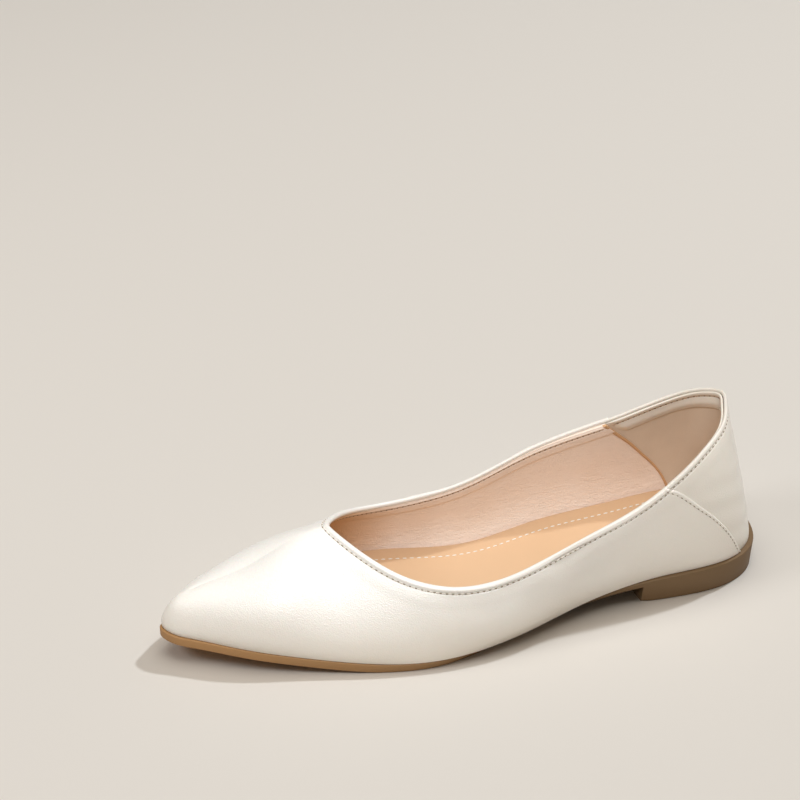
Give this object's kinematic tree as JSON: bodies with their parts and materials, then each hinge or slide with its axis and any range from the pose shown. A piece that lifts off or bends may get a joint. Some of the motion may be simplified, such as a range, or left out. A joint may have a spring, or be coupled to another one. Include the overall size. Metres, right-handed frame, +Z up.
{
  "type": "pointed toe flat shoe",
  "caption": "Slip-on flat shoe with a pointed toe, a low block heel and an open collar; a smooth leather upper laps over its heel panel, above a thin moulded sole and a stitched insole.",
  "frame": {"origin": "on the floor at the middle of the length of the heel's flat ground face, on the line the shoe's plan is drawn about", "axes": "+X to the toe, +Y to the wearer's left, which is the outer side of this left shoe, +Z up"},
  "size_m": [0.2644, 0.0848, 0.0728],
  "materials": {
    "outsole": "matte moulded rubber, tan brown",
    "insole": "smooth tan sock with white stitches",
    "upper": "fine grained off-white leather with a soft pearly sheen",
    "counter": "fine grained off-white leather with a soft sheen"
  },
  "bodies": {
    "root": {"outsole": "outsole", "insole": "insole", "upper": "upper", "counter": "counter"}
  },
  "joints": []
}
